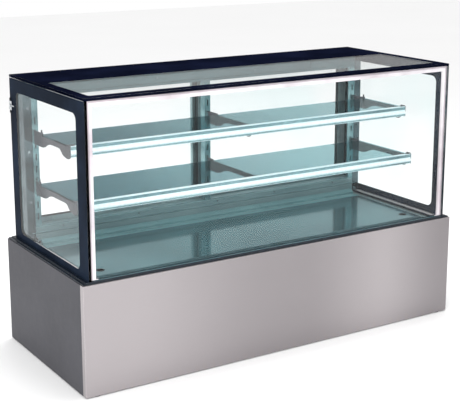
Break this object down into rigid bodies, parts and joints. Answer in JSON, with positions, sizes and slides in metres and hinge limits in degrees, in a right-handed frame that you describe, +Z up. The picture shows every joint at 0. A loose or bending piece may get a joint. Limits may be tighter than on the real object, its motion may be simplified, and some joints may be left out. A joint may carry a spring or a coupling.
{
  "type": "bakery display case",
  "caption": "Refrigerated bakery display case: square glass house with lit shelves, lift-out deck and rear sliding doors on a stainless base that holds the cooling unit.",
  "frame": {"origin": "on the floor under the middle of the case", "axes": "+X to the right of a customer who faces the case, +Y towards the back, +Z up"},
  "size_m": [1.8, 0.74, 1.135],
  "materials": {
    "stainless": "fine satin, soft cloudy reflections",
    "grey_panel": "satin grey paint",
    "galvanised_steel": "galvanised, spangled",
    "black_steel": "black enamel",
    "black_rim": "gloss black",
    "well_liner": "smooth liner over foam",
    "polished_steel": "polished stainless",
    "satin_aluminium": "satin anodised",
    "coil_aluminium": "mill finish fins",
    "clear_glass": "polished float glass, black printed borders",
    "shelf_glass": "polished tempered glass",
    "grey_bracket": "satin grey coat",
    "black_plastic": "fine moulded grain",
    "copper": "drawn copper tube"
  },
  "bodies": {
    "cabinet": {"front_panel": "stainless", "side_panel_left": "grey_panel", "side_panel_right": "grey_panel", "rear_panel": "stainless", "base_frame": "galvanised_steel", "foot_front_left": "black_steel", "foot_front_right": "black_steel", "foot_rear_left": "black_steel", "foot_rear_right": "black_steel", "plinth_rim": "black_rim", "cold_well": "well_liner", "front_air_grille": "satin_aluminium", "rear_duct_cover": "polished_steel", "side_glass_left": "clear_glass", "side_glass_right": "clear_glass", "front_glass_outer": "clear_glass", "front_glass_inner": "clear_glass", "front_glass_spacer": "satin_aluminium", "top_glass": "clear_glass", "rear_post_left": "polished_steel", "rear_post_right": "polished_steel", "shelf_standard_left": "polished_steel", "shelf_standard_right": "polished_steel", "centre_post": "polished_steel", "header_beam": "satin_aluminium", "door_track_top": "satin_aluminium", "door_sill": "satin_aluminium", "top_bracket_left": "grey_bracket", "top_bracket_centre": "grey_bracket", "top_bracket_right": "grey_bracket", "middle_bracket_left": "grey_bracket", "middle_bracket_centre": "grey_bracket", "middle_bracket_right": "grey_bracket", "evaporator_coil": "coil_aluminium", "fan_baffle": "galvanised_steel", "compressor": "black_steel", "condenser_coil": "coil_aluminium", "condenser_shroud": "black_steel", "suction_pipe": "copper", "liquid_pipe": "copper", "drain_pan": "black_plastic", "control_box": "black_steel", "thermostat": "black_plastic", "mains_gland": "black_plastic"},
    "door_left": {"door_frame_left": "satin_aluminium", "door_glass_left": "clear_glass"},
    "door_right": {"door_frame_right": "satin_aluminium", "door_glass_right": "clear_glass"},
    "deck_left": {"deck_panel_left": "polished_steel"},
    "deck_right": {"deck_panel_right": "polished_steel"},
    "top_shelf": {"top_shelf_glass": "shelf_glass", "top_light_rail": "satin_aluminium"},
    "middle_shelf": {"middle_shelf_glass": "shelf_glass", "middle_light_rail": "satin_aluminium"},
    "fan_left": {"evaporator_fan_left": "black_plastic"},
    "fan_right": {"evaporator_fan_right": "black_plastic"},
    "fan_condenser": {"condenser_fan": "black_plastic"},
    "switch_power": {"power_rocker": "black_plastic"},
    "switch_light": {"light_rocker": "black_plastic"}
  },
  "joints": [
    {"name": "door_left_slide", "type": "slide", "parent": "cabinet", "child": "door_left", "axis": [1, 0, 0], "range_m": [0, 0.8]},
    {"name": "door_right_slide", "type": "slide", "parent": "cabinet", "child": "door_right", "axis": [1, 0, 0], "range_m": [-0.8, 0]},
    {"name": "deck_left_lift", "type": "slide", "parent": "cabinet", "child": "deck_left", "axis": [0, 0, 1], "range_m": [0, 0.12]},
    {"name": "deck_right_lift", "type": "slide", "parent": "cabinet", "child": "deck_right", "axis": [0, 0, 1], "range_m": [0, 0.12]},
    {"name": "top_shelf_lift", "type": "slide", "parent": "cabinet", "child": "top_shelf", "axis": [0, 0, 1], "range_m": [0, 0.03]},
    {"name": "middle_shelf_lift", "type": "slide", "parent": "cabinet", "child": "middle_shelf", "axis": [0, 0, 1], "range_m": [0, 0.03]},
    {"name": "fan_left_spin", "type": "hinge", "parent": "cabinet", "child": "fan_left", "pos_m": [-0.3, -0.024, 0.3463], "axis": [0, 1, 0], "continuous": true},
    {"name": "fan_right_spin", "type": "hinge", "parent": "cabinet", "child": "fan_right", "pos_m": [0.3, -0.024, 0.3463], "axis": [0, 1, 0], "continuous": true},
    {"name": "fan_condenser_spin", "type": "hinge", "parent": "cabinet", "child": "fan_condenser", "pos_m": [0.425, 0.206, 0.1388], "axis": [0, 1, 0], "continuous": true},
    {"name": "power_switch_tilt", "type": "hinge", "parent": "cabinet", "child": "switch_power", "pos_m": [-0.56, 0.363, 0.347], "axis": [-1, 0, 0], "range_deg": [0, 20]},
    {"name": "light_switch_tilt", "type": "hinge", "parent": "cabinet", "child": "switch_light", "pos_m": [-0.52, 0.363, 0.347], "axis": [-1, 0, 0], "range_deg": [0, 20]}
  ]
}
